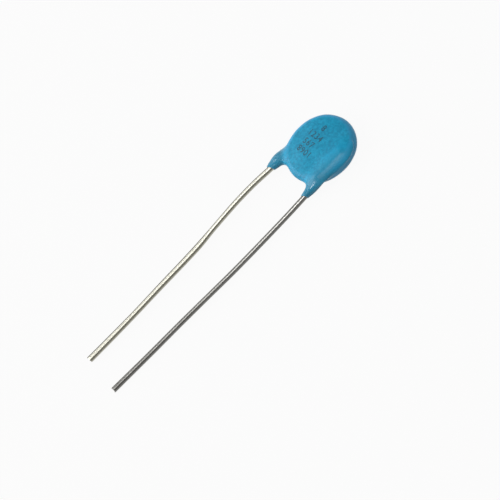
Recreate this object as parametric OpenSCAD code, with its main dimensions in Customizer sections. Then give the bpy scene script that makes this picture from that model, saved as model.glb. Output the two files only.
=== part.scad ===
// Radial ceramic disc capacitor. A silvered ceramic disc has a tinned wire soldered to each
// face and is dipped in one epoxy coating, which runs a little way down both leads.
// Everything is drawn on the body's own axes, with the leads along -Y and the faces along Z,
// and laid() then puts it down as it rests on a table.

/* [Ceramic disc] */
// Diameter of the ceramic disc
ceramic_d = 7.2; // [6.6:0.1:8]
// Thickness of the ceramic disc
ceramic_t = 0.8; // [0.6:0.05:0.9]

/* [Electrodes] */
// Bare ring of ceramic left round each silver electrode
electrode_margin = 0.15; // [0.1:0.05:0.2]
// Thickness of each silver electrode
electrode_t = 0.03; // [0.02:0.01:0.05]

/* [Leads] */
// Diameter of the tinned wire
wire_d = 0.6; // [0.5:0.05:0.65]
// Distance of each lead inside the edge of the ceramic disc
lead_inset = 0.7; // [0.65:0.05:0.8]
// Pitch of the two leads at their tips
tip_pitch = 5; // [4.5:0.1:5.8]
// Bare length of the front lead, from the end of its coating to its tip
front_bare = 29.2; // [24:0.1:34]
// Bare length of the back lead, from the end of its coating to its tip
back_bare = 28.2; // [24:0.1:34]
// Bare length of the back lead before it is set inwards
set_start = 4; // [2:0.5:6]
// Length over which the back lead is set inwards
set_run = 15; // [10:0.5:17]
// Distance that each lead reaches over its face, past the middle of the disc
lead_reach = 1; // [0.8:0.1:1.2]
// Length over which a lead steps down from the face of the disc to the middle plane
step_run = 2.2; // [1.8:0.1:2.4]

/* [Solder] */
// Film of solder under a lead and up its sides
solder_film = 0.03; // [0.02:0.01:0.05]
// Width of a solder fillet at its foot
solder_w = 1.1; // [0.9:0.05:1.3]
// Height of the solder above the middle of the wire
solder_rise = 0.1; // [0.05:0.05:0.15]

/* [Coated body] */
// Coating over the edge of the ceramic disc, at the sides of the body
rim_cover = 0.3; // [0.25:0.05:0.5]
// How much longer than wide the body is, along the leads
body_longer = 0.4; // [0.2:0.1:0.6]
// Thickness of the body at its full round rim
rim_t = 1.6; // [1.5:0.05:1.7]
// Thickness of the body at the crown of its faces
crown_t = 2.1; // [1.9:0.05:2.2]

/* [Coating over the leads] */
// Coating over the top of a lead where it lies on the face
lead_cover = 0.2; // [0.15:0.05:0.3]
// Width of the gentle flank between the ridge over a lead and the flat of the face
flank_w = 2; // [1.5:0.1:2.4]
// Width of the rounded flank between that ridge and the rim
brow_w = 0.75; // [0.55:0.05:0.8]
// Length over which a ridge sinks into the face past the end of its lead
fade_run = 1.4; // [1.2:0.1:1.4]
// Distance below the body at which a leg starts to spread
spread_start = 0.3; // [0:0.1:0.4]
// Length over which a leg spreads into the face
spread_run = 3; // [2.4:0.1:3.2]
// How far the coating runs down the front lead, past the end of the body
front_run = 0.85; // [0.7:0.05:1.5]
// How far the coating runs down the back lead, past the end of the body
back_run = 1.35; // [0.7:0.05:1.5]
// Diameter of a leg at its widest
leg_d = 1.2; // [1.1:0.05:1.3]
// Length over which a leg swells from its end to its widest
leg_swell = 1.4; // [1:0.1:1.6]
// Thickness of the coating at the end of a leg
leg_end_t = 0.04; // [0.03:0.01:0.08]

/* [Hidden] */

round_fn = 96;
wire_sides = 24;    // sides of a wire where it is bent
bend_proud = 0.004; // how far those sides stand outside the round of the straight wire
step_rings = 12;    // rings along the step of a lead
set_rings = 16;     // rings along the inward set of the back lead
skin_sides = 32;    // points round a leg of coating
skin_rings = 40;    // rings along a leg and its ridge
rim_steps = 24;     // facets round the rim, from face to face
crown_steps = 6;    // facets from the middle of a face to its rim
fillet_steps = 8;   // facets up the side of a solder fillet
bury = 0.03;        // depth to which the foot of a ridge is sunk in the face
settle_rounds = 8;  // rounds in which the angles at rest are settled

// Ceramic, electrodes and the seat of the leads on them
ceramic_r = ceramic_d / 2;
wire_r = wire_d / 2;
bend_r = (wire_r + bend_proud) / cos(180 / wire_sides);
electrode_r = ceramic_r - electrode_margin;
electrode_top = ceramic_t / 2 + electrode_t;
seat_z = electrode_top + solder_film + wire_r;

// Outline of the body, and how far the coating of each lead reaches from its middle
body_r = ceramic_r + rim_cover;
stretch = body_longer / 2;
body_end = body_r + stretch;
front_leg = body_end + front_run;
back_leg = body_end + back_run;

// Places along a lead, which steps down where it leaves the ceramic
lead_offset = ceramic_r - lead_inset;
step_top = -sqrt(ceramic_r * ceramic_r - lead_offset * lead_offset);
step_end = step_top - step_run;
set_top = -(back_leg + set_start);
set_end = set_top - set_run;
front_tip = -(front_leg + front_bare);
back_tip = -(back_leg + back_bare);
set_in = 2 * lead_offset - tip_pitch;

// Lens shaped body: a crown arc on each face, tangent to the full round rim
rim_r = rim_t / 2;
rim_c = body_r - rim_r;
crown_h = crown_t / 2;
crown_r = (rim_c * rim_c + crown_h * crown_h - rim_r * rim_r) / (2 * (crown_h - rim_r));
crown_angle = asin(rim_c / (crown_r - rim_r));
crown_edge = crown_r * sin(crown_angle);
skin_r = wire_r + lead_cover;
ridge_h = seat_z + skin_r;

// How it lies: on the ridge and the crown of its back face, and on the tip of its front lead
rest_angles = settle(0, 0, settle_rounds);
roll = rest_angles[0];
pitch = rest_angles[1];
lift = (ridge_h * cos(roll) - lead_offset * sin(roll)) * cos(pitch) - step_top * sin(pitch);
middle_y = (body_end + min(front_tip, back_tip)) / 2;

// Smooth step from 0 to 1, and its slope
function ease(t) = t <= 0 ? 0 : t >= 1 ? 1 : t * t * (3 - 2 * t);
function ease_slope(t) = t <= 0 || t >= 1 ? 0 : 6 * t * (1 - t);
function mix(a, b, t) = a + (b - a) * t;
function unit(v) = v / norm(v);

// Roll at which a line over the back ridge, this far below the middle, touches the crown
function roll_over(drop) =
  let (across = lead_offset, down = crown_r - crown_h + drop)
  atan2(down, across) - asin(crown_r / norm([across, down]));

// Pitch at which the front tip comes down to the level of the back ridge
function pitch_down(roll) =
  asin((ridge_h * cos(roll) - 2 * lead_offset * sin(roll) - wire_r) / (step_top - front_tip));

// The two angles depend on each other, so they are settled in a few rounds
function settle(roll, pitch, rounds) =
  rounds == 0 ? [roll, pitch]
  : settle(roll_over(ridge_h - step_top * tan(pitch)), pitch_down(roll), rounds - 1);

// Centre of a lead and its slope at a height y: seated on the face, stepped down, set inwards
function lead_point(y, inward) = [
  lead_offset - inward * ease((set_top - y) / set_run),
  y,
  seat_z * ease((y - step_end) / step_run)
];
function lead_slope(y, inward) = [
  inward * ease_slope((set_top - y) / set_run) / set_run,
  1,
  seat_z * ease_slope((y - step_end) / step_run) / step_run
];

// Ring of points square to a lead
function wire_ring(y, inward) =
  let (
    along = unit(lead_slope(y, inward)),
    side = unit(cross(along, [0, 0, 1])),
    up = cross(side, along)
  )
  [for (i = [0:wire_sides - 1])
    let (a = 360 * i / wire_sides)
    lead_point(y, inward) + bend_r * (cos(a) * side + sin(a) * up)];

// Height of the lens shaped body over a point of its middle plane
function face_z(x, y) =
  let (
    from_axis = norm([x, max(abs(y) - stretch, 0)]),
    past_rim_c = min(from_axis - rim_c, rim_r)
  )
  from_axis < crown_edge
  ? crown_h - crown_r + sqrt(crown_r * crown_r - from_axis * from_axis)
  : sqrt(rim_r * rim_r - past_rim_c * past_rim_c);

// Half width of the body's middle plane at a height y
function body_x(y) =
  let (past = max(abs(y) - stretch, 0))
  sqrt(max(body_r * body_r - past * past, 0));

// How much of the section at a height y is spread over the face, from 0 on the leg to 1
function spread(y) = ease((y + body_end + spread_start) / spread_run);

// Radius of a leg of coating that ends at the depth leg
function leg_r(y, leg) =
  mix(wire_r + leg_end_t, leg_d / 2, ease((y + leg) / leg_swell));

// Width of the outer flank, which keeps over the lead and inside the outline of the body
function brow(y) =
  let (room = min(brow_w, body_x(y) - lead_offset - bury))
  max(room, y > lead_reach ? bury : skin_r);

// Section of the coating round a lead: an ellipse on the leg, which spreads into a rounded
// ridge on the face and sinks into it past the end of the lead
function skin_point(a, y, leg) =
  let (
    u = cos(a),
    s = spread(y),
    r = leg_r(y, leg),
    x = lead_offset + u * mix(r, u > 0 ? brow(y) : flank_w, s),
    z = lead_point(y, 0)[2],
    top = mix(r, skin_r, ease((y + body_end) / (body_end + step_top))),
    foot = face_z(x, y) - bury,
    flank = mix(foot, z + top, u > 0 ? 1 - u * u : pow(cos(90 * u), 2)),
    reach = abs(x - lead_offset),
    over = reach < skin_r ? z + sqrt(skin_r * skin_r - reach * reach) : foot,
    ridge = mix(max(flank, over), foot, ease((y - lead_reach) / fade_run)),
    upper = mix(z + top * sin(a), ridge, s),
    lower = mix(z + r * sin(a), -rim_r / 4, s)
  )
  [x, y, a <= 180 ? upper : lower];
function skin_ring(y, leg) =
  [for (i = [0:skin_sides - 1]) skin_point(360 * i / skin_sides, y, leg)];

// Solid through a list of rings that all have the same number of points, stacked along +Y
module loft(rings) {
  n = len(rings[0]);
  last = (len(rings) - 1) * n;
  sides = [for (r = [0:len(rings) - 2], i = [0:n - 1])
    let (a = r * n + i, b = r * n + (i + 1) % n)
    each [[a, b, b + n], [a, b + n, a + n]]];
  ends = [[for (i = [n - 1:-1:0]) i], [for (i = [0:n - 1]) last + i]];
  polyhedron(points = [for (ring = rings) each ring], faces = concat(sides, ends));
}

// Cylinder along Y between two heights
module rod(d, x, z, low, high) {
  translate([x, high, z]) rotate([90, 0, 0]) cylinder(d = d, h = high - low, $fn = round_fn);
}

// Puts on the back face what its child draws on the front face
module turned() {
  rotate([0, 180, 0]) children();
}

// Lays the part down at rest, with the origin under the middle of its box
module laid() {
  translate([0, -middle_y, lift]) rotate([pitch, 0, 0]) rotate([0, roll, 0]) children();
}

module ceramic_blank() {
  cylinder(d = ceramic_d, h = ceramic_t, center = true, $fn = round_fn);
}

module electrode_blank() {
  translate([0, 0, ceramic_t / 2]) cylinder(r = electrode_r, h = electrode_t, $fn = round_fn);
}

// Wire seated on the front face; inward is how far its bare part is set towards the other
module lead_blank(tip, inward) {
  step_ys = [for (i = [0:step_rings]) step_end + step_run * i / step_rings];
  set_ys = [for (i = [0:set_rings]) set_end + set_run * i / set_rings];
  loft([for (y = concat(step_ys, [lead_reach])) wire_ring(y, 0)]);
  if (inward == 0) {
    rod(wire_d, lead_offset, 0, tip, step_end);
  } else {
    rod(wire_d, lead_offset, 0, set_top, step_end);
    loft([for (y = set_ys) wire_ring(y, inward)]);
    rod(wire_d, lead_offset - inward, 0, tip, set_end);
  }
}

// Half section of a solder fillet, hollow from its foot up to the side of the wire
module fillet_half() {
  foot = solder_w / 2;
  neck = wire_r + solder_film;
  height = seat_z + solder_rise - electrode_top;
  side = [for (i = [0:fillet_steps])
    let (a = 90 * i / fillet_steps)
    [neck + (foot - neck) * (1 - sin(a)), electrode_top + height * (1 - cos(a))]];
  polygon(concat([[0, electrode_top]], side, [[0, electrode_top + height]]));
}

// Mound of solder round the seat of a lead, kept on its electrode
module solder_blank() {
  chord = sqrt(max(electrode_r * electrode_r - lead_offset * lead_offset, 0));
  low = -max(chord - solder_w / 2, 0);
  intersection() {
    union() {
      translate([lead_offset, lead_reach, 0]) rotate([90, 0, 0])
        linear_extrude(lead_reach - low) {
          fillet_half();
          mirror([1, 0]) fillet_half();
        }
      for (y = [low, lead_reach])
        translate([lead_offset, y, 0]) rotate_extrude($fn = round_fn) fillet_half();
    }
    cylinder(r = electrode_r, h = crown_t, $fn = round_fn);
  }
}

// Half section of the body, from one face round the rim to the other
module body_half_section() {
  face = [for (i = [0:crown_steps - 1])
    let (a = crown_angle * i / crown_steps)
    [crown_r * sin(a), crown_h - crown_r + crown_r * cos(a)]];
  rim = [for (i = [0:rim_steps])
    let (a = crown_angle + (180 - 2 * crown_angle) * i / rim_steps)
    [rim_c + rim_r * sin(a), rim_r * cos(a)]];
  under = [for (i = [crown_steps - 1:-1:0]) [face[i][0], -face[i][1]]];
  polygon(concat(face, rim, under));
}

// Lens shaped body, with its two half rounds set a little apart along the leads
module body_blank() {
  translate([0, stretch, 0]) rotate_extrude(angle = 180, $fn = round_fn) body_half_section();
  translate([0, -stretch, 0]) rotate([0, 0, 180])
    rotate_extrude(angle = 180, $fn = round_fn) body_half_section();
  translate([0, stretch, 0]) rotate([90, 0, 0]) linear_extrude(2 * stretch) {
    body_half_section();
    mirror([1, 0]) body_half_section();
  }
}

// Leg of coating down a lead, with the ridge that it makes over the face
module skin_blank(leg) {
  top = lead_reach + fade_run;
  loft([for (i = [0:skin_rings]) skin_ring(mix(-leg, top, i / skin_rings), leg)]);
}

module ceramic_disc() {
  color([0.78, 0.7, 0.58]) laid() ceramic_blank();
}

module electrode_front() {
  color([0.82, 0.82, 0.8]) laid() electrode_blank();
}

module electrode_back() {
  color([0.82, 0.82, 0.8]) laid() turned() electrode_blank();
}

module solder_front() {
  color([0.62, 0.64, 0.66]) laid() difference() {
    solder_blank();
    lead_blank(front_tip, 0);
  }
}

module solder_back() {
  color([0.62, 0.64, 0.66]) laid() turned() difference() {
    solder_blank();
    lead_blank(back_tip, set_in);
  }
}

module lead_front() {
  color([0.74, 0.73, 0.71]) laid() lead_blank(front_tip, 0);
}

module lead_back() {
  color([0.77, 0.75, 0.68]) laid() turned() lead_blank(back_tip, set_in);
}

module coating() {
  color([0.15, 0.58, 0.74]) laid() difference() {
    union() {
      body_blank();
      skin_blank(front_leg);
      turned() skin_blank(back_leg);
    }
    ceramic_blank();
    electrode_blank();
    turned() electrode_blank();
    solder_blank();
    turned() solder_blank();
    lead_blank(front_tip, 0);
    turned() lead_blank(back_tip, set_in);
  }
}

ceramic_disc();
electrode_front();
electrode_back();
solder_front();
solder_back();
lead_front();
lead_back();
coating();
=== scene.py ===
"""Dressed model of a radial ceramic disc capacitor, lying on a pale floor.

Shapes are worked out in millimetres on the capacitor's own axes: +X across the leads, +Y from the
lead tips to the body, +Z out of the front face. Lay then puts them down at rest, in metres.
"""

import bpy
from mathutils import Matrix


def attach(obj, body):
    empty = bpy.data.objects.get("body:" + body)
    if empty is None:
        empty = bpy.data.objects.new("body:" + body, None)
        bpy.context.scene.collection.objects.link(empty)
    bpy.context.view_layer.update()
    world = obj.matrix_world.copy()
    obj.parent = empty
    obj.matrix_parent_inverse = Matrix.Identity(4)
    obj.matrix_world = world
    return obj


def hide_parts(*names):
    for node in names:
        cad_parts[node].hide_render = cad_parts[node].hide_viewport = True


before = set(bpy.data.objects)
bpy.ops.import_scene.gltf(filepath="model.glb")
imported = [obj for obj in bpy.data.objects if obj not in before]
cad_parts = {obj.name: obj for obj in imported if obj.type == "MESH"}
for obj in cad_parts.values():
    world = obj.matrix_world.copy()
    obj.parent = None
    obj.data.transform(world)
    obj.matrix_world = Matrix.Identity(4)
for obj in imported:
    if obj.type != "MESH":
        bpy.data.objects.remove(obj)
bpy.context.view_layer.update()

import logging
import math
from dataclasses import dataclass, field
from enum import Enum
from typing import Callable, Union

import bpy
import numpy as np
from bpy.types import ID, Material, Node, NodeSocket, NodeTree, Object
from mathutils import Matrix, Vector

LOG = logging.getLogger("disc_capacitor")
BODY = "root"
METRES = 0.001
TINY = 1e-9
Pair = tuple[float, float]
Triple = tuple[float, float, float]
Numbers = tuple[float, ...]
Colour = Triple
Array = np.ndarray
Distance = Callable[[Array], Array]


def linear(red: int, green: int, blue: int) -> Colour:
    """Scene-linear colour of a screen colour given from 0 to 255, by the curve of a standard screen."""
    channels = (value / 255.0 for value in (red, green, blue))
    return tuple(c / 12.92 if c <= 0.04045 else ((c + 0.055) / 1.055) ** 2.4 for c in channels)


def rise(value: Array, start: float, run: float) -> Array:
    """Smooth rise from 0 at start to 1 a run further on, 3t^2 - 2t^3 of the share t of the run."""
    t = np.clip((value - start) / run, 0.0, 1.0)
    return t * t * (3.0 - 2.0 * t)


def soft_min(a: Array, b: Array, blend: float) -> Array:
    """Smaller of two distances, less h^2 * blend / 4 where h = 1 - |a - b| / blend is over 0."""
    h = np.clip(1.0 - np.abs(a - b) / blend, 0.0, None)
    return np.minimum(a, b) - h * h * blend * 0.25


def soft_max(a: Array, b: Array, blend: float) -> Array:
    """Larger of two distances, rounded in the same way as soft_min."""
    return -soft_min(-a, -b, blend)


def through(places: Numbers, values: Numbers, at: Array) -> Array:
    """Smooth curve through values given at places, by a cubic between each two.

    Args:
        places: Where the values are given, falling.
        values: The values there.
        at: Where the curve is wanted; beyond the ends it keeps the end's value.

    Returns:
        The curve's values, whose slope at each place is the mean slope round it.
    """
    knots, heights = np.array(places)[::-1], np.array(values)[::-1]
    slopes = np.gradient(heights, knots)
    span = np.clip(np.searchsorted(knots, at) - 1, 0, len(knots) - 2)
    width = knots[span + 1] - knots[span]
    t = np.clip((at - knots[span]) / width, 0.0, 1.0)
    rest = 1.0 - t
    ends = rest * rest * (1.0 + 2.0 * t) * heights[span] + t * t * (3.0 - 2.0 * t) * heights[span + 1]
    return ends + width * t * rest * (rest * slopes[span] - t * slopes[span + 1])


class Side(Enum):
    """The face that a lead lies on; the back is the front turned half a turn about Y."""

    FRONT = 1.0
    BACK = -1.0

    def turn(self, points: Array) -> Array:
        """Points turned from the front to this side, or from this side to the front."""
        return points * np.array([self.value, 1.0, self.value])


@dataclass(frozen=True)
class Lay:
    """How the capacitor lies at rest.

    Attributes:
        roll: Turn about Y, in degrees.
        pitch: Turn about X that follows it, in degrees.
        lift: Height of the middle of the body over the floor, in millimetres.
        middle: Y of the middle of the part's box on its own axes, in millimetres.
    """

    roll: float = 3.93673
    pitch: float = 0.999983
    lift: float = 1.09499
    middle: float = -15.025

    def turn(self) -> Array:
        """The turn from the part's axes to the floor's: about Y by the roll, then about X by the pitch."""
        cr, sr, cp, sp = (f(math.radians(t)) for t in (self.roll, self.pitch) for f in (math.cos, math.sin))
        return np.array([[cr, 0.0, sr], [sp * sr, cp, -sp * cr], [-cp * sr, sp, cp * cr]])

    def place(self, points: Array) -> Array:
        """Points in millimetres on the part's own axes, put down at rest and given in metres."""
        return (points @ self.turn().T + np.array([0.0, -self.middle, self.lift])) * METRES


LAY = Lay()


# ---- meshes


def level_skin(distance: Distance, low: Triple, high: Triple, step: float) -> tuple[Array, Array]:
    """Closed quad mesh round the space where a distance is negative.

    Each cell of a box whose corners aren't all on one side gets a vertex, and each grid edge that
    crosses the surface gets a quad, which joins the vertices of the four cells round it.

    Args:
        distance: Signed distance of an array of points.
        low: Lowest corner of the box.
        high: Highest corner of the box.
        step: Size of a cell.

    Returns:
        Vertices, at the middles of their cells, and quads that face outwards.
    """
    axes = [np.arange(a, b + step, step) for a, b in zip(low, high)]
    inside = distance(np.stack(np.meshgrid(*axes, indexing="ij"), axis=-1)) < 0.0
    cells = tuple(n - 1 for n in inside.shape)
    corners = sum(
        inside[i : i + cells[0], j : j + cells[1], k : k + cells[2]].astype(np.int8)
        for i, j, k in np.ndindex(2, 2, 2)
    )
    mixed = (corners > 0) & (corners < 8)
    number = np.full(cells, -1, dtype=int)
    number[mixed] = np.arange(np.count_nonzero(mixed))
    points = np.asarray(low) + step * (np.argwhere(mixed) + 0.5)
    quads = []
    for axis in range(3):
        u, v = (np.eye(3, dtype=int)[(axis + k) % 3] for k in (1, 2))
        lower = np.take(inside, range(cells[axis]), axis=axis)
        upper = np.take(inside, range(1, cells[axis] + 1), axis=axis)
        at = np.argwhere(lower != upper)
        around = [number[tuple((at - shift).T)] for shift in (u + v, v, 0 * u, u)]
        quad = np.stack(around, axis=1)
        leaving = lower[tuple(at.T)]
        quads.append(np.where(leaving[:, None], quad, quad[:, ::-1]))
    return points, np.concatenate(quads)


def slope(distance: Distance, points: Array, reach: float = 0.002) -> Array:
    """Gradient of a distance, from its values at points that lie the reach to either side on each axis."""
    parts = [distance(points + step) - distance(points - step) for step in np.eye(3) * reach]
    return np.stack(parts, axis=-1) / (2.0 * reach)


def settle(distance: Distance, points: Array, rounds: int, least: float = 0.05) -> Array:
    """Moves points onto a surface, each round by distance * gradient / |gradient|^2.

    Args:
        distance: Signed distance of an array of points.
        points: Points near the surface.
        rounds: Number of moves.
        least: Least value that |gradient|^2 is taken to have.

    Returns:
        The moved points.
    """
    for _ in range(rounds):
        along = slope(distance, points)
        square = np.maximum(np.sum(along * along, axis=-1), least)
        points = points - along * (distance(points) / square)[..., None]
    return points


def relax(points: Array, quads: Array, share: float = 0.6) -> Array:
    """Moves each vertex towards the mean of the vertices that it has an edge to.

    Args:
        points: The vertices.
        quads: The four vertex numbers of each face.
        share: How much of the way each one goes.

    Returns:
        The moved vertices.
    """
    corner, following = quads.ravel(), np.roll(quads, -1, axis=1).ravel()
    starts, ends = np.concatenate([corner, following]), np.concatenate([following, corner])
    count = np.bincount(starts)
    total = np.stack([np.bincount(starts, weights=points[ends, k]) for k in range(3)], axis=1)
    return points + share * (total / count[:, None] - points)


def add_object(name: str, data: ID) -> Object:
    """Puts a new object in the scene.

    Args:
        name: Its name.
        data: Its mesh, curve, lamp or camera.

    Returns:
        The object.
    """
    made = bpy.data.objects.new(name, data)
    bpy.context.scene.collection.objects.link(made)
    return made


def add_piece(
    name: str, points: Array, faces: list[list[int]], material: Material, smooth: bool = True
) -> Object:
    """Object with its place in its mesh, riding on the body.

    Args:
        name: Name of the piece.
        points: Vertices on the part's own axes, in millimetres.
        faces: Vertex numbers of each face.
        material: Its finish.
        smooth: Whether its faces are shaded as one curved surface.

    Returns:
        The new object.
    """
    mesh = bpy.data.meshes.new(name)
    mesh.from_pydata(LAY.place(points).tolist(), [], faces)
    mesh.polygons.foreach_set("use_smooth", np.full(len(faces), smooth))
    mesh.materials.append(material)
    mesh.update()
    piece = add_object(name, mesh)
    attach(piece, BODY)
    return piece


def add_values(piece: Object, name: str, values: Array) -> None:
    """Gives each vertex of a piece a number, which its material reads by name."""
    piece.data.attributes.new(name, "FLOAT", "POINT").data.foreach_set("value", values.astype(np.float32))


# ---- materials


Value = Union["Term", float, tuple, NodeSocket]


def both_ways(operation: str) -> tuple[Callable, Callable]:
    """A Math node's operation as an operator of two values, and the same with the term second."""
    return (
        lambda term, other: term.graph.maths(operation, term, other),
        lambda term, other: term.graph.maths(operation, other, term),
    )


class Term:
    """A node's output in an expression: arithmetic on it adds Math nodes to its graph."""

    def __init__(self, graph: "Graph", socket: NodeSocket) -> None:
        """Wraps one output socket of a graph."""
        self.graph, self.socket = graph, socket

    __add__, __radd__ = both_ways("ADD")
    __sub__, __rsub__ = both_ways("SUBTRACT")
    __mul__, __rmul__ = both_ways("MULTIPLY")

    def clamped(self) -> "Term":
        """The same value held between 0 and 1."""
        return Term(self.graph, self.graph.node("ShaderNodeClamp", {}, {"Value": self}).outputs[0])


class Graph:
    """Node tree of one material or of the world."""

    def __init__(self, tree: NodeTree) -> None:
        """Empties the tree, which the finish then fills."""
        self.tree = tree
        tree.nodes.clear()

    def node(self, kind: str, settings: dict, sockets: dict[str, Value]) -> Node:
        """Adds one node.

        Args:
            kind: The node's type.
            settings: Its settings, set first.
            sockets: Values or links of its inputs, by identifier or name.

        Returns:
            The new node.
        """
        made = self.tree.nodes.new(kind)
        for key, value in settings.items():
            setattr(made, key, value)
        for key, value in sockets.items():
            self.feed(made, key, value)
        return made

    def feed(self, node: Node, key: str, value: Value) -> None:
        """Links a term or socket to one input of a node, or sets the input's own value.

        Args:
            node: The node.
            key: Identifier or name of the input.
            value: What it gets; a colour may come without its alpha.
        """
        target = next((s for s in node.inputs if s.identifier == key), None) or node.inputs[key]
        value = value.socket if isinstance(value, Term) else value
        if isinstance(value, NodeSocket):
            self.tree.links.new(value, target)
        elif target.type == "RGBA":
            target.default_value = (*value, 1.0)[:4]
        else:
            target.default_value = value

    def maths(self, operation: str, first: Value, second: Value) -> Term:
        """One Math node on two values."""
        made = self.node("ShaderNodeMath", {"operation": operation}, {"Value": first, "Value_001": second})
        return Term(self, made.outputs[0])

    def blend(self, share: Value, first: Value, second: Value) -> Term:
        """Mix of two colours, first * (1 - share) + second * share, with the share held from 0 to 1."""
        made = self.node(
            "ShaderNodeMix",
            {"data_type": "RGBA", "clamp_factor": True},
            {"Factor_Float": share, "A_Color": first, "B_Color": second},
        )
        return Term(self, next(s for s in made.outputs if s.identifier == "Result_Color"))

    def noise(
        self, place: Value, scale: float, detail: float, rough: float = 0.5, twist: float = 0.0
    ) -> Term:
        """Noise from 0 to 1: features per unit of the place, finer octaves, their strength, distortion."""
        made = self.node(
            "ShaderNodeTexNoise",
            {},
            {"Vector": place, "Scale": scale, "Detail": detail, "Roughness": rough, "Distortion": twist},
        )
        return Term(self, made.outputs[0])

    def stretched(self, place: Value, scale: Triple) -> Term:
        """Coordinates with each axis multiplied by its scale."""
        return Term(self, self.node("ShaderNodeMapping", {}, {"Vector": place, "Scale": scale}).outputs[0])

    def millimetres(self) -> Term:
        """Object coordinates in millimetres."""
        place = self.node("ShaderNodeTexCoord", {}, {}).outputs["Object"]
        return self.stretched(place, (1.0 / METRES,) * 3)

    def wrapped(self, round_it: float, along: float) -> Term:
        """UV coordinates of a wire, turns round it and millimetres along it, times these numbers."""
        place = self.node("ShaderNodeUVMap", {"uv_map": "wrap"}, {}).outputs[0]
        return self.stretched(place, (round_it, along, 1.0))

    def number(self, name: str) -> Term:
        """A number that the piece's vertices carry."""
        return Term(self, self.node("ShaderNodeAttribute", {"attribute_name": name}, {}).outputs["Fac"])

    def bump(self, height: Value, depth: float) -> Term:
        """Normal of a relief, whose height of 1 is the depth in millimetres."""
        sockets = {"Height": height, "Distance": depth * METRES, "Strength": 1.0}
        return Term(self, self.node("ShaderNodeBump", {}, sockets).outputs[0])

    def surface(self, sockets: dict[str, Value]) -> None:
        """Ends the graph in a Principled shader with these inputs."""
        shader = self.node("ShaderNodeBsdfPrincipled", {}, sockets)
        self.node("ShaderNodeOutputMaterial", {}, {"Surface": shader.outputs[0]})


def new_graph(name: str) -> tuple[Material, Graph]:
    """A new material and its empty graph.

    Args:
        name: Name of the material.

    Returns:
        Both.
    """
    material = bpy.data.materials.new(name)
    material.use_nodes = True
    return material, Graph(material.node_tree)


@dataclass(frozen=True)
class DippedEpoxy:
    """Semi-gloss blue epoxy, a little mottled, paler round the rim for thinner coating with a painted
    sheen, and with a painted highlight on the ridges over the leads.

    Attributes:
        deep: Colour where the coating is thick.
        light: Colour of the mottling.
        thin_and_sheen: Colour round the rim, partly for thinner coating and partly a painted sheen.
        painted_ridge_highlight: Colour of the painted highlight on the ridges over the leads.
        leg: Colour on the legs.
        clouds: Clouds in a millimetre.
        grains: Grains of the mottling in a millimetre.
        rough: Mean roughness of the body.
        glossier: How much smoother the legs are.
        peel: Depth of the unevenness of the skin, in millimetres.
        sheen: Strength of its mirror reflection, where 0.5 is that of glass.
    """

    deep: Colour = linear(0, 130, 167)
    light: Colour = linear(4, 154, 192)
    thin_and_sheen: Colour = linear(58, 162, 210)
    painted_ridge_highlight: Colour = linear(6, 166, 212)
    leg: Colour = linear(50, 132, 163)
    clouds: float = 0.9
    grains: float = 3.6
    rough: float = 0.4
    glossier: float = 0.2
    peel: float = 0.008
    sheen: float = 0.36

    def material(self) -> Material:
        """The finish as a material; it reads the vertex numbers "thin", "over" and "drip".

        Clouds and grains mix the deep colour with the light one. The rim colour (thinner coating and
        painted sheen), the painted ridge highlight and the leg colour then lie over that by their vertex
        numbers. Roughness and relief fade as the legs begin.

        Returns:
            The new material.
        """
        made, graph = new_graph("dipped_epoxy")
        place = graph.millimetres()
        cloud = graph.noise(place, self.clouds, 3.0, 0.55)
        mottle = graph.noise(place, self.grains, 4.0, 0.6)
        drip = graph.number("drip")
        share = ((cloud - 0.5) * 1.6 + (mottle - 0.5) * 3.0 + 0.5).clamped()
        colour = graph.blend(share, self.deep, self.light)
        # Painted sheen with thinner coating: the rim is paler and bluer, less so towards -Y, partly for
        # thinner coating and partly for light reflected at the rim.
        rim_sheen_share = graph.number("thin_and_sheen") * 0.7 + (cloud - 0.5) * 0.3
        colour = graph.blend(rim_sheen_share.clamped(), colour, self.thin_and_sheen)
        # Painted highlight: a paler colour on the ridges over the leads, where light falls on them.
        colour = graph.blend(graph.number("over") * 0.4, colour, self.painted_ridge_highlight)
        colour = graph.blend((drip * 0.9 + (mottle - 0.5) * 0.4).clamped(), colour, self.leg)
        graph.surface(
            {
                "Base Color": colour,
                "Roughness": self.rough + (mottle - 0.5) * (1.0 - drip) * 0.1 - drip * self.glossier,
                "Normal": graph.bump((cloud + mottle * 0.25) * (1.0 - drip), self.peel),
                "Specular IOR Level": self.sheen,
            }
        )
        return made


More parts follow.
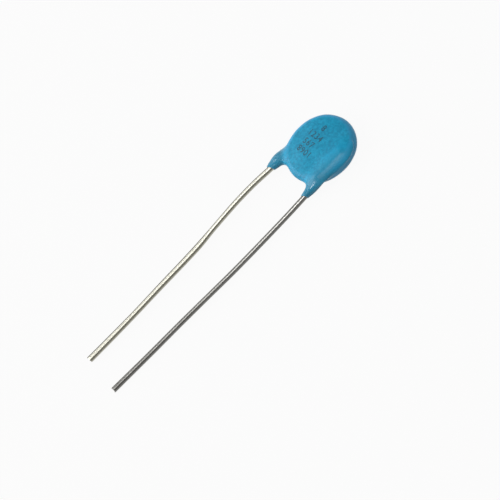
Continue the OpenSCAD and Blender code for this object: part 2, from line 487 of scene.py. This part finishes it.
@dataclass(frozen=True)
class DrawnTin:
    """Tinned wire with fine draw lines along it, a painted highlight strip near its top and painted shade
    on its flanks.

    Attributes:
        name: Name of the material.
        bright: Colour of the painted highlight strip, which is also the colour of unworn tin.
        dull_and_shade: Colour of worn tin, and of the painted shade on the flanks.
        rough: Roughness of burnished tin.
        wear: How far the tin is worn to the duller colour at the wire's tip, from 0 to 1.
        painted_dark_shade: Colour of the darker painted shade on the side towards -X.
        lines: Draw lines round the wire, and waves in a millimetre along them.
        stains: Stains round the wire, and in a millimetre along it.
        clouds: Clouds in a millimetre.
        depth: Depth of lines and stains, in millimetres.
    """

    name: str
    bright: Colour
    dull_and_shade: Colour
    rough: float
    wear: float
    painted_dark_shade: Colour = linear(80, 78, 70)
    lines: Pair = (13.0, 0.06)
    stains: Pair = (3.0, 0.8)
    clouds: float = 0.7
    depth: float = 0.003

    def material(self) -> Material:
        """The finish as a material; it reads the UV map "wrap" and the vertex numbers "flank" and "worn".

        The wear grows towards the tip and is broken up by clouds and stains. Wear and painted shade
        turn the bright tin to the duller colour, the lines do so a little, and painted shade past 1 darkens
        it.

        Returns:
            The new material.
        """
        made, graph = new_graph(self.name)
        lines = graph.noise(graph.wrapped(*self.lines), 1.0, 1.0)
        cloud = graph.noise(graph.millimetres(), self.clouds, 3.0, 0.6)
        stain = graph.noise(graph.wrapped(*self.stains), 1.0, 1.0, 0.5, 0.3)
        worn = (graph.number("worn") * self.wear + (cloud - 0.5) * 0.5 + (stain - 0.5) * 0.3).clamped()
        # Painted highlight and painted shade: this number keeps a strip near the top bright, turns the
        # flanks duller and the side towards -X darker still, standing in for how light falls on the wire.
        side = graph.number("flank")
        flank = (side + (lines - 0.5) * 0.3).clamped()
        colour = graph.blend(worn, self.bright, self.dull_and_shade)
        colour = graph.blend(flank, colour, self.dull_and_shade)
        colour = graph.blend((lines - 0.5).clamped() * 0.5, colour, self.dull_and_shade)
        colour = graph.blend((side - 1.0).clamped(), colour, self.painted_dark_shade)
        graph.surface(
            {
                "Base Color": colour,
                "Metallic": 1.0,
                "Roughness": self.rough + flank * 0.12 + worn * 0.06,
                "Normal": graph.bump(lines * 0.3 + stain * 0.8, self.depth),
            }
        )
        return made


@dataclass(frozen=True)
class FadedInk:
    """Faint ink, soaked into the skin and rubbed away in places.

    Attributes:
        colour: Colour of the ink.
        rubbed: Colour where it is rubbed.
        patches: Patches in a millimetre.
        rough: Its roughness.
    """

    colour: Colour = linear(14, 76, 96)
    rubbed: Colour = linear(10, 116, 148)
    patches: float = 5.0
    rough: float = 0.42

    def material(self) -> Material:
        """The finish as a material, rubbed where the patches rise past 0.42.

        Returns:
            The new material.
        """
        made, graph = new_graph("faded_ink")
        patch = graph.noise(graph.millimetres(), self.patches, 3.0, 0.6)
        colour = graph.blend(((patch - 0.42) * 3.0).clamped(), self.colour, self.rubbed)
        graph.surface({"Base Color": colour, "Roughness": self.rough, "IOR": 1.5})
        return made


@dataclass(frozen=True)
class Inner:
    """Plain finish of a piece that the coating covers, with a slight grain.

    Attributes:
        name: Name of the material.
        colour: Its colour.
        shade: Its colour between the grains.
        metal: 1 for a metal and 0 for anything else.
        rough: Mean roughness.
        grains: Grains in a millimetre.
        depth: Depth of the grain, in millimetres.
    """

    name: str
    colour: Colour
    shade: Colour
    metal: float
    rough: float
    grains: float = 6.0
    depth: float = 0.004

    def material(self) -> Material:
        """The finish as a material, in which the grain sets colour, roughness and relief.

        Returns:
            The new material.
        """
        made, graph = new_graph(self.name)
        grain = graph.noise(graph.millimetres(), self.grains, 4.0, 0.6)
        graph.surface(
            {
                "Base Color": graph.blend(grain, self.shade, self.colour),
                "Metallic": self.metal,
                "Roughness": self.rough + (grain - 0.5) * 0.2,
                "Normal": graph.bump(grain, self.depth),
            }
        )
        return made


# ---- pieces


@dataclass
class Lead:
    """A tinned wire, drawn on the front and turned to its side; lengths are in millimetres.

    Attributes:
        side: The face it lies on.
        finish: Its finish.
        tip: Y of its cut end.
        places: Y values, falling, at which the next two are given.
        across: Distance from the middle plane.
        wide: How much wider than round the wire is, as a share.
        cut_slant: How far the cut end leans over half the wire's width.
        burr: Length of the burr that the cutter left.
        burr_at: Where on the rim the burr is, in degrees from +X towards +Z.
        strip: Lean of the painted highlight strip towards +X at the tip and further up, in degrees.
        strip_half: Half of the strip's width at both, in degrees.
        strip_fade: Degrees over which the painted highlight gives way to painted shade beside it.
        shaded: Lean past which painted shade darkens the side towards -X, in degrees.
        shade_fade: Degrees over which it does.
        strip_run: Length from the tip over which the strip changes.
        worn_run: Length from the tip over which the wear ends.
        radius: Radius of the wire.
        ripple: How much the radius wavers, as a share.
        seat: Height of the wire's middle on the face.
        reach: Y of its inner end.
        step_end: Y at which the step down from the face is complete.
        step_run: Length of the step.
        sides: Number of sides of a ring.
        name: Name of its node.
    """

    side: Side
    finish: DrawnTin
    tip: float
    places: Numbers
    across: Numbers
    wide: Numbers
    cut_slant: float
    burr: float = 0.0
    burr_at: float = 0.0
    strip: Pair = (25.0, 27.0)
    strip_half: Pair = (11.0, 12.0)
    strip_fade: float = 24.0
    shaded: float = -9.0
    shade_fade: float = 26.0
    strip_run: float = 24.0
    worn_run: float = 30.0
    radius: float = 0.3
    ripple: float = 0.006
    seat: float = 0.76
    reach: float = 1.0
    step_end: float = -4.33307
    step_run: float = 2.2
    sides: int = 48
    name: str = field(init=False)

    def __post_init__(self) -> None:
        """Names the lead after its side."""
        self.name = f"lead_{self.side.name.lower()}"

    def angles(self) -> Array:
        """Angle of each side of a ring, from +X towards +Z, in radians."""
        return np.linspace(0.0, 2.0 * np.pi, self.sides, endpoint=False)

    def centre(self, y: Array) -> Array:
        """Centre line: across from a smooth curve through the given places, up by the step."""
        z = self.seat * rise(y, self.step_end, self.step_run)
        return np.stack([through(self.places, self.across, y), y, z], axis=-1)

    def rings(self) -> Array:
        """Rings of points square to the centre line: centre + half width * cos + radius * sin of the angle.

        Returns:
            An array of rings by sides by 3, from the tip to the inner end.
        """
        # closer rings where the wire steps down
        y = np.concatenate([np.linspace(self.tip, -5.0, 200), np.linspace(-4.95, self.reach, 80)])
        centre = self.centre(y)
        along = np.gradient(centre, axis=0)
        along /= np.linalg.norm(along, axis=1, keepdims=True)
        across = np.cross(along, [0.0, 0.0, 1.0])
        across /= np.linalg.norm(across, axis=1, keepdims=True)
        up = np.cross(across, along)
        a = self.angles()
        ripple = 1.0 + self.ripple * np.sin(1.9 * y + 1.0) * np.sin(0.7 * y)
        half = self.radius * ripple * (1.0 + through(self.places, self.wide, y))
        wide, tall = half[:, None] * across, (self.radius * ripple)[:, None] * up
        return centre[:, None] + wide[:, None] * np.cos(a)[:, None] + tall[:, None] * np.sin(a)[:, None]

    def flank(self, y: Array) -> Array:
        """Painted shade round the wire: how far each vertex is from the painted highlight strip, and past 1
        how much darker it is.

        The side towards -X gets the darker painted shade. The number is the larger of an eased distance
        past the strip and twice an eased distance into that side.

        Args:
            y: Y of each ring.

        Returns:
            One number for each vertex, from 0 to 2.
        """
        a = self.angles()
        lean = np.degrees(np.arctan2(np.cos(a) * self.side.value, np.sin(a) * self.side.value))
        up = rise(y, self.tip, self.strip_run)[:, None]
        half, faces = (tip + (far - tip) * up for tip, far in (self.strip_half, self.strip))
        past = rise(np.abs(lean - faces), half, self.strip_fade)
        return np.maximum(past, 2.0 * rise(self.shaded - lean, 0.0, self.shade_fade)).ravel()

    def capped(self, rings: Array) -> Array:
        """Adds the cut end, with its slant, its rounded rim and its burr, and the flat inner end.

        Each ring of the cut end is pushed along the wire by its share of the slant, by the burr as a
        bell curve round its place, and by a depth that rounds the rim.

        Args:
            rings: The wire's rings.

        Returns:
            The wire's rings with those of both ends.
        """
        a, burr_half, pull_run = self.angles(), 30.0, 0.12
        tip, middle = rings[0], rings[0].mean(axis=0)
        lean = self.cut_slant * np.cos(a)
        off = (np.degrees(a) - self.burr_at + 180.0) % 360.0 - 180.0
        spur = self.burr * np.exp(-((off / burr_half) ** 2))
        shares = np.array([0.02, 0.35, 0.7, 0.9, 0.975, 1.0])
        depths = np.array([0.0, 0.002, 0.006, 0.012, 0.03, 0.06])
        faces = middle + (tip - middle) * shares[:, None, None]
        push = shares[:, None] * lean[None] + (shares[:, None] ** 8) * -spur[None]
        faces[..., 1] += push + depths[:, None]
        body = rings.copy()
        near = np.exp(-(rings[:, :, 1] - self.tip) / pull_run)
        body[..., 1] += near * (lean - spur)[None]
        inner_middle = rings[-1].mean(axis=0)
        inner = inner_middle + (rings[-1] - inner_middle) * np.array([0.9, 0.02])[:, None, None]
        inner[..., 1] += 0.01
        return np.concatenate([faces, body[1:], inner])

    def build(self) -> Object:
        """Makes the lead, which stands for its node.

        Each two rings are joined by quads, and each end by triangles to its middle.

        Returns:
            The finished piece.
        """
        grid = self.side.turn(self.capped(self.rings()))
        count, sides = grid.shape[:2]
        rows, columns = np.meshgrid(np.arange(count - 1), np.arange(sides), indexing="ij")
        here, after = rows * sides + columns, rows * sides + (columns + 1) % sides
        quads = np.stack([here, here + sides, after + sides, after], axis=-1).reshape(-1, 4)
        points = grid.reshape(-1, 3)
        ends = np.stack([grid[0].mean(axis=0), grid[-1].mean(axis=0)])
        ring, beside = np.arange(sides), (np.arange(sides) + 1) % sides
        top = (count - 1) * sides
        near = np.stack([np.full(sides, len(points)), ring, beside], axis=1)
        far = np.stack([np.full(sides, len(points) + 1), top + beside, top + ring], axis=1)
        corners = [*quads.tolist(), *near.tolist(), *far.tolist()]
        finish = self.finish.material()
        piece = add_piece(f"tinned_{self.name}", np.concatenate([points, ends]), corners, finish)
        worn = 1.0 - rise(points[:, 1], self.tip, self.worn_run)
        add_values(piece, "worn", np.concatenate([worn, [1.0, 0.0]]))
        # Painted shade round the wire, with a painted highlight strip near its top.
        add_values(piece, "flank", np.concatenate([self.flank(grid[:, 0, 1]), [1.0, 1.0]]))
        wrap = np.stack([columns, columns, columns + 1, columns + 1], axis=-1) / sides
        along = np.stack([grid[:-1, :, 1], grid[1:, :, 1], grid[1:, :, 1], grid[:-1, :, 1]], axis=-1)
        uv = np.stack([wrap, along], axis=-1).reshape(-1, 2)
        rest = len(piece.data.loops) - len(uv)
        layer = piece.data.uv_layers.new(name="wrap")
        layer.data.foreach_set("uv", np.concatenate([uv, np.zeros((rest, 2))]).astype(np.float32).ravel())
        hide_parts(self.name)
        return piece


@dataclass
class Leg:
    """Coating that runs down one lead, in the field of the whole coating.

    Attributes:
        lead: The lead inside it.
        end: Y of its end, on the lead's centre line.
        slant: Rise of its end across the wire, from -X to +X on the lead's side.
        places: Y values, falling, at which the next four are given.
        inner: Distance from the lead's centre to its side towards the other leg.
        outer: The same to its outer side.
        high: The same square to those, away from the middle of the body.
        deep: The same towards the middle, or nothing where it is the same.
        fade: Length over which it sinks into the face.
        short: How far before the lead's inner end that begins.
        spare: Length past its end at which it would round off, if it weren't cut.
        edge: Width over which the cut is rounded.
    """

    lead: Lead
    end: float
    slant: float
    places: Numbers
    inner: Numbers
    outer: Numbers
    high: Numbers
    deep: Numbers = ()
    fade: float = 1.4
    short: float = 0.1
    spare: float = 0.4
    edge: float = 0.08

    def distance(self, points: Array) -> Array:
        """Distance to the leg.

        Square to the lead each side of the leg is a quarter of an ellipse, and the distance is the
        length of the line from the lead's centre to the point, less what of it is inside. A
        slanted plane cuts the leg off at its end.

        Args:
            points: Points, in millimetres.

        Returns:
            One signed distance for each.
        """
        own = self.lead.side.turn(points)
        y = np.clip(own[..., 1], self.end - self.spare, self.lead.reach - self.short)
        centre = self.lead.centre(y)
        x, z = own[..., 0] - centre[..., 0], own[..., 2] - centre[..., 2]
        past = own[..., 1] - y
        sizes = (self.inner, self.outer, self.high, self.deep or self.high)
        inner, outer, high, deep = (through(self.places, size, y) for size in sizes)
        long = np.sqrt(x * x + z * z + past * past) + TINY
        wide, tall = np.where(x < 0.0, inner, outer), np.where(z < 0.0, deep, high)
        share = np.sqrt((x / wide) ** 2 + (z / tall) ** 2 + (past / self.fade) ** 2) + TINY
        tube = long * (1.0 - 1.0 / share)
        stop = self.end - own[..., 1] + self.slant * x
        return soft_max(tube, stop / math.hypot(1.0, self.slant), self.edge)


@dataclass
class Coating:
    """The dipped skin: a lens shaped body with a full round rim, run together with its two legs.

    Attributes:
        legs: The coating round each lead.
        finish: Its finish.
        body_radius: Mean radius of the body's outline.
        stretch: Half of how much longer than wide the body is.
        lobes: Waves of the outline, cosine and sine of twice the angle and then of three times.
        rim: Radius of the full round rim.
        crown: Height of the faces at the middle.
        blend: Width over which the legs run together with the body.
        low: Lowest corner of the box in which the skin is found.
        high: Highest corner of it.
        step: Size of its cells.
        rounds: How often the skin is settled and relaxed.
    """

    legs: tuple[Leg, Leg]
    finish: DippedEpoxy = DippedEpoxy()
    body_radius: float = 3.925
    stretch: float = 0.09
    lobes: tuple[float, float, float, float] = (-0.09, 0.04, -0.006, 0.024)
    rim: float = 0.8
    crown: float = 1.05
    blend: float = 1.3
    low: Triple = (-4.3, -5.9, -1.7)
    high: Triple = (4.3, 4.5, 1.7)
    step: float = 0.07
    rounds: int = 4

    def reach(self, points: Array) -> Array:
        """Distance from the middle, seen from the front, in the measure in which the outline is a circle.

        It is the distance to a short line along Y, less waves round the middle that grow outwards.

        Args:
            points: Points, in millimetres.

        Returns:
            One distance for each.
        """
        out = np.hypot(points[..., 0], np.maximum(np.abs(points[..., 1]) - self.stretch, 0.0))
        turn = np.arctan2(points[..., 1], points[..., 0])
        waves = np.stack([np.cos(2 * turn), np.sin(2 * turn), np.cos(3 * turn), np.sin(3 * turn)])
        return out - np.tensordot(self.lobes, waves, axes=1) * rise(out, 0.0, self.body_radius - self.rim)

    def body(self, points: Array) -> Array:
        """Distance to the body without its legs.

        In the half section, from the middle out, the face is an arc of a large circle and the rim a
        half circle that it meets without a corner; whichever circle a point looks out from gives
        its distance.

        Args:
            points: Points, in millimetres.

        Returns:
            One signed distance for each.
        """
        rim_at = self.body_radius - self.rim
        large = (rim_at**2 + self.crown**2 - self.rim**2) / (2.0 * (self.crown - self.rim))
        edge = math.asin(rim_at / (large - self.rim))
        out, up = self.reach(points), np.abs(points[..., 2])
        from_face = np.hypot(out, up + large - self.crown) - large
        from_rim = np.hypot(out - rim_at, up) - self.rim
        return np.where(np.arctan2(out, up + large - self.crown) < edge, from_face, from_rim)

    def waver(self, points: Array) -> Array:
        """Slight unevenness of a dipped skin: the sum of three slow waves in different directions."""
        x, y, z = points[..., 0], points[..., 1], points[..., 2]
        return (
            0.008 * np.sin(1.7 * x + 0.9 * y + 0.5)
            + 0.006 * np.sin(1.1 * x - 2.1 * y + 1.2 * z + 2.0)
            + 0.004 * np.sin(3.1 * y + 1.3 * x - 0.7)
        )

    def distance(self, points: Array) -> Array:
        """Distance to the whole coating, body and legs run together by soft_min.

        Args:
            points: Points, in millimetres.

        Returns:
            One signed distance for each.
        """
        skin = self.body(points) + self.waver(points)
        for leg in self.legs:
            skin = soft_min(skin, leg.distance(points), self.blend)
        return skin

    def build(self) -> Object:
        """Makes the coating, which stands for its node.

        The skin is shaded by the distance's own gradient, not by the faces.

        Returns:
            The finished piece.
        """
        points, quads = level_skin(self.distance, self.low, self.high, self.step)
        for _ in range(self.rounds):
            points = relax(settle(self.distance, points, 1), quads)
        points = settle(self.distance, points, self.rounds)
        piece = add_piece("dipped_coating", points, quads.tolist(), self.finish.material())
        facing = slope(self.distance, points) @ LAY.turn().T
        piece.data.normals_split_custom_set_from_vertices(facing.tolist())
        # The first two numbers carry a painted sheen round the rim and a painted highlight on the ridges
        # over the leads.
        for name, values in (("thin_and_sheen", self.thin_and_sheen_share), ("over", self.over), ("drip", self.drip)):
            add_values(piece, name, values(points))
        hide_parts("coating")
        return piece

    def thin_and_sheen_share(self, points: Array) -> Array:
        """Share of the rim colour, partly thinner coating and partly painted sheen: most round the rim away
        from the leads, and not over the leads.
        """
        rim = rise(self.reach(points) - (self.body_radius - self.rim), 0.12, 0.3)
        return rim * (1.0 - self.drip(points)) * (0.2 + 0.8 * rise(points[..., 1], -3.2, 2.5))

    def over(self, points: Array) -> Array:
        """How much of a place is on the ridge over a lead, from 0 to 1, which takes the painted highlight.
        """
        return rise(self.body(points), 0.08, 0.15) * rise(points[..., 1], -1.6, 1.5)

    def drip(self, points: Array) -> Array:
        """How much of a place belongs to a leg, from 0 on the body to 1 well down the leg."""
        return rise(self.body(points), 0.15, 0.55)


@dataclass
class Marking:
    """Rows of plain digits in faint ink on the front face; lengths are in millimetres.

    Attributes:
        coating: What it is printed on.
        finish: Its finish.
        rows: Digits of each row, and X and Y of its middle.
        height: Height of a digit.
        narrow: Width of a digit as a share of the typeface's.
        space: Space between digits as a share of the same.
        weight: How much thicker the strokes are.
        turn: Turn of the rows, in degrees.
        proud: Height of the ink over the skin.
        thick: Thickness of the ink.
    """

    coating: Coating
    finish: FadedInk = FadedInk()
    rows: tuple[tuple[str, float, float], ...] = (
        ("8", -1.0, 1.73),
        ("1234", -1.1, 0.55),
        ("567", -1.05, -0.53),
        ("8901", -0.7, -1.53),
    )
    height: float = 0.75
    narrow: float = 0.92
    space: float = 1.12
    weight: float = 0.012
    turn: float = 3.7
    proud: float = 0.006
    thick: float = 0.02

    def build(self) -> Object:
        """Sets the rows as flat digits, lays them on the skin and gives them a thickness.

        Returns:
            The finished piece.
        """
        flat, faces = np.empty((0, 2)), []
        for text, x, y in self.rows:
            spots, corners = self.row(text)
            faces += [[n + len(flat) for n in face] for face in corners]
            flat = np.concatenate([flat, spots + np.array([x, y])])
        points = np.column_stack([flat, np.full(len(flat), self.coating.crown)])
        points = settle(self.coating.distance, points, self.coating.rounds)
        points += slope(self.coating.distance, points) * self.proud
        piece = add_piece("ink_digits", points, faces, self.finish.material(), smooth=False)
        wall = piece.modifiers.new("thickness", "SOLIDIFY")
        wall.thickness, wall.offset = self.thick * METRES, -1.0
        return piece

    def row(self, text: str) -> tuple[Array, list[list[int]]]:
        """Outlines of one row of digits, filled, centred and turned, in millimetres.

        Args:
            text: The digits.

        Returns:
            Flat points and faces.
        """
        curve = bpy.data.curves.new(f"row_{text}", "FONT")
        curve.body, curve.size, curve.space_character = text, 1.0, self.space
        curve.align_x, curve.align_y = "CENTER", "CENTER"
        curve.resolution_u, curve.offset = 6, self.weight
        holder = add_object(curve.name, curve)
        bpy.context.view_layer.update()
        mesh = bpy.data.meshes.new_from_object(holder)
        points = np.empty(len(mesh.vertices) * 3)
        mesh.vertices.foreach_get("co", points)
        faces = [list(p.vertices) for p in mesh.polygons]
        bpy.data.objects.remove(holder)
        bpy.data.curves.remove(curve)
        bpy.data.meshes.remove(mesh)
        flat = points.reshape(-1, 3)[:, :2]
        tall = flat[:, 1].max() - flat[:, 1].min()
        flat = flat * np.array([self.narrow, 1.0]) * (self.height / tall)
        a = math.radians(self.turn)
        return flat @ np.array([[math.cos(a), math.sin(a)], [-math.sin(a), math.cos(a)]]), faces


# ---- studio


@dataclass(frozen=True)
class Lamp:
    """A square soft lamp that looks at the part.

    Attributes:
        name: Its name.
        towards: Direction from the part to the lamp.
        size: Width and height, in metres.
        glow: Radiance of its face, where 1 is as bright as the background.
        away: Its distance, in metres.
    """

    name: str
    towards: Triple
    size: Pair
    glow: float
    away: float = 0.5

    def build(self) -> None:
        """Hangs the lamp."""
        data = bpy.data.lights.new(self.name, "AREA")
        data.shape, data.size, data.size_y = "RECTANGLE", *self.size
        data.energy = self.glow * math.pi * self.size[0] * self.size[1]
        lamp = add_object(self.name, data)
        way = Vector(self.towards).normalized()
        lamp.location = way * self.away
        lamp.rotation_euler = way.to_track_quat("Z", "Y").to_euler()


@dataclass(frozen=True)
class Studio:
    """Pale floor, soft light and camera.

    Attributes:
        lamps: The lamps.
        ambient: Brightness of the sky overhead.
        horizon: Its brightness at the horizon.
        floor: Colour of the floor.
        paler: Colour of its grain.
        floor_reach: Half of its width, in metres.
        glow_share: Share of the glow in its look.
        frame_px: Width of the frame in pixels.
        sensor: Width of the sensor, in millimetres.
        away_mm: Distance of the camera, in millimetres.
        turn: Turn of the camera from the front face towards +X, in degrees.
        tip: Its tip towards -Y, in degrees.
        spin: Turn of the leads in the frame from 45 degrees.
        scale: Pixels in a millimetre.
        centre: The middle of the body in the frame, in pixels from the upper left.
    """

    lamps: tuple[Lamp, ...] = (
        Lamp("strip", (0.1, 0.0, 1.0), (0.4, 0.24), 1.8),
        Lamp("overhead", (-0.04, 0.2, 0.98), (0.16, 0.14), 3.0),
        Lamp("key", (0.02, -0.75, 0.66), (0.08, 0.14), 14.0),
        Lamp("side", (-0.45, -0.75, 0.48), (0.45, 0.45), 2.4),
        Lamp("bank", (-0.66, 0.04, 0.75), (0.16, 0.16), 0.9),
        Lamp("low", (-0.93, -0.14, 0.35), (0.3, 0.3), 0.9),
        Lamp("spark", (-0.59, -0.28, 0.76), (0.1, 0.1), 6.0),
    )
    ambient: float = 0.22
    horizon: float = 0.46
    floor: Colour = linear(178, 178, 178)
    paler: Colour = linear(182, 182, 182)
    floor_reach: float = 3.0
    glow_share: float = 0.94
    frame_px: float = 500.0
    sensor: float = 36.0
    away_mm: float = 600.0
    turn: float = 33.185
    tip: float = 1.161
    spin: float = -0.215
    scale: float = 9.326
    centre: Pair = (321.32, 148.92)

    def camera(self) -> None:
        """Sets the camera from how far the front face is turned from it and where it stands in the frame.

        The direction to the camera is the face's normal, turned and tipped. The leads run down to
        the left. The place that falls in the middle of the frame follows from the scale and from
        where the middle of the body is seen.
        """
        t, p = math.radians(self.turn), math.radians(self.tip)
        back = np.array([math.sin(t) * math.cos(p), -math.sin(p), math.cos(t) * math.cos(p)])
        along = np.array([0.0, -1.0, 0.0])
        along -= back * (along @ back)
        along /= np.linalg.norm(along)
        across = np.cross(along, back)
        across *= math.copysign(1.0, across[0])
        a = math.radians(135.0 + self.spin)
        right = math.cos(a) * along + math.sin(a) * across
        down = math.sin(a) * along - math.cos(a) * across
        middle = self.frame_px / 2.0
        aim = ((middle - self.centre[0]) * right + (middle - self.centre[1]) * down) / self.scale
        turn = LAY.turn()
        data = bpy.data.cameras.new("camera")
        data.sensor_width = self.sensor
        data.lens = self.scale * self.away_mm * self.sensor / self.frame_px
        data.clip_start, data.clip_end = 0.01, 20.0
        camera = add_object("camera", data)
        axes = np.column_stack([turn @ right, turn @ -down, turn @ back])
        spot = LAY.place((aim + back * self.away_mm)[None])[0]
        camera.matrix_world = Matrix.Translation(Vector(spot)) @ Matrix(axes.tolist()).to_4x4()
        bpy.context.scene.camera = camera

    def ground(self) -> None:
        """Lays the floor.

        It is plain pale paint, and seen directly, in gloss or through glass it also glows, at the
        share that takes it to white, so that only a part of its brightness carries the shadow.
        """
        mesh = bpy.data.meshes.new("floor")
        corners = np.array([(-1, -1, 0), (1, -1, 0), (1, 1, 0), (-1, 1, 0)]) * self.floor_reach
        mesh.from_pydata(corners.tolist(), [], [(0, 1, 2, 3)])
        material, graph = new_graph("floor_paint")
        path = graph.node("ShaderNodeLightPath", {}, {})
        seen = graph.maths("MAXIMUM", path.outputs["Is Camera Ray"], path.outputs["Is Glossy Ray"])
        seen = graph.maths("MAXIMUM", seen, path.outputs["Is Transmission Ray"])
        grain = graph.noise(graph.millimetres(), 0.4, 3.0)
        tone = graph.blend(grain, self.floor, self.paler)
        paint = graph.node("ShaderNodeBsdfDiffuse", {}, {"Color": tone}).outputs[0]
        glow = graph.node("ShaderNodeEmission", {}, {"Color": (1.0, 1.0, 1.0), "Strength": 1.0}).outputs[0]
        sockets = {"Fac": seen * self.glow_share, "Shader": paint, "Shader_001": glow}
        mix = graph.node("ShaderNodeMixShader", {}, sockets)
        graph.node("ShaderNodeOutputMaterial", {}, {"Surface": mix.outputs[0]})
        mesh.materials.append(material)
        floor = add_object("floor", mesh)

    def sky(self) -> None:
        """Sets the world: dim overhead and paler at the horizon, and white where it is seen directly.

        The light is darker towards +X and paler towards +Y, by a share of each direction.
        """
        world = bpy.data.worlds.new("studio")
        bpy.context.scene.world = world
        world.use_nodes = True
        graph = Graph(world.node_tree)
        place = graph.node("ShaderNodeTexCoord", {}, {}).outputs["Generated"]
        split = graph.node("ShaderNodeSeparateXYZ", {}, {"Vector": place})
        across, away, height = (Term(graph, split.outputs[axis]) for axis in "XYZ")
        up = (height * 1.6).clamped()
        light = (self.horizon + up * (self.ambient - self.horizon)) * (1.0 - across * 0.3 + away * 0.1)
        seen = Term(graph, graph.node("ShaderNodeLightPath", {}, {}).outputs["Is Camera Ray"])
        strength = light + seen * (1.0 - light)
        back = graph.node("ShaderNodeBackground", {}, {"Color": (1.0, 1.0, 1.0), "Strength": strength})
        graph.node("ShaderNodeOutputWorld", {}, {"Surface": back.outputs[0]})

    def build(self) -> None:
        """Hangs the lamps, lays the floor and sets the world."""
        self.ground()
        self.sky()
        for lamp in self.lamps:
            lamp.build()
        bpy.context.scene.view_settings.view_transform = "Standard"


def dress_inner(nodes: dict[str, Object]) -> None:
    """Gives the pieces inside the coating their finishes.

    Args:
        nodes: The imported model's objects, by node.
    """
    ceramic = Inner("fired_ceramic", linear(214, 196, 168), linear(190, 170, 140), 0.0, 0.7)
    silver = Inner("fired_silver", linear(214, 214, 208), linear(186, 186, 180), 1.0, 0.45)
    solder = Inner("dull_solder", linear(176, 180, 184), linear(148, 152, 158), 1.0, 0.4)
    for finish, names in (
        (ceramic, ("ceramic_disc",)),
        (silver, ("electrode_front", "electrode_back")),
        (solder, ("solder_front", "solder_back")),
    ):
        material = finish.material()
        for name in names:
            piece = nodes[name]
            if not piece.material_slots:
                piece.data.materials.append(material)
            for place in piece.material_slots:
                place.material = material
            LOG.info("dressed %s", name)


def main() -> None:
    """Builds the camera, the pieces and the studio in order."""
    logging.basicConfig(level=logging.INFO, format="%(message)s")
    studio = Studio()
    studio.camera()
    front = Lead(
        side=Side.FRONT,
        finish=DrawnTin("tin_grey", linear(206, 205, 200), linear(122, 121, 117), 0.26, 0.75),
        tip=-34.02,
        places=(1.0, -4.5, -7.5, -11.0, -16.0, -20.4, -24.0, -28.0, -34.15),
        across=(2.79, 2.8, 2.93, 3.025, 3.08, 3.01, 2.96, 2.95, 2.87),
        wide=(0.0, 0.0, 0.0, 0.0, 0.0, -0.03, 0.0, 0.02, 0.08),
        cut_slant=0.03,
        burr=0.12,
        burr_at=-60.0,
    )
    back = Lead(
        side=Side.BACK,
        finish=DrawnTin("tin_warm", linear(248, 246, 232), linear(176, 174, 160), 0.28, 0.0),
        tip=-33.58,
        places=(1.0, -4.6, -8.0, -10.5, -12.2, -14.4, -16.5, -18.7, -22.0, -27.2, -30.0, -33.65),
        across=(2.84, 2.82, 2.985, 2.93, 2.81, 2.615, 2.41, 2.31, 2.23, 2.07, 2.04, 2.04),
        wide=(0.0, 0.12, 0.1, 0.08, 0.05, 0.05, 0.25, 0.25, 0.2, 0.15, 0.22, 0.25),
        cut_slant=-0.02,
        # Where this wire's painted highlight strip and painted shade lie.
        strip=(-6.0, -4.0),
        strip_half=(14.0, 12.0),
        shaded=-6.0,
    )
    legs = (
        Leg(
            lead=front,
            end=-4.99,
            slant=0.53,
            places=(0.9, 0.0, -1.2, -2.3, -3.0, -3.6, -4.1, -4.6, -5.1),
            inner=(0.85, 0.85, 0.65, 0.52, 0.54, 0.59, 0.58, 0.52, 0.41),
            outer=(0.75, 0.75, 0.76, 0.86, 0.76, 0.61, 0.48, 0.39, 0.34),
            high=(0.18, 0.24, 0.27, 0.24, 0.36, 0.46, 0.46, 0.41, 0.34),
        ),
        Leg(
            lead=back,
            end=-5.27,
            slant=-0.45,
            places=(0.9, 0.0, -1.2, -2.3, -3.0, -3.6, -4.1, -4.6, -5.1, -5.6),
            inner=(0.85, 0.85, 0.55, 0.5, 0.56, 0.54, 0.52, 0.53, 0.44, 0.33),
            outer=(0.75, 0.72, 0.8, 1.06, 1.03, 0.97, 0.88, 0.77, 0.62, 0.38),
            high=(0.18, 0.24, 0.28, 0.26, 0.38, 0.46, 0.45, 0.4, 0.36, 0.33),
            deep=(0.18, 0.24, 0.32, 0.5, 0.6, 0.62, 0.53, 0.41, 0.36, 0.33),
        ),
    )
    coating = Coating(legs)
    for sub_assembly in (front, back, coating, Marking(coating)):
        piece = sub_assembly.build()
        LOG.info("built %s with %d faces", piece.name, len(piece.data.polygons))
    dress_inner(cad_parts)
    studio.build()


if __name__ == "__main__":
    main()
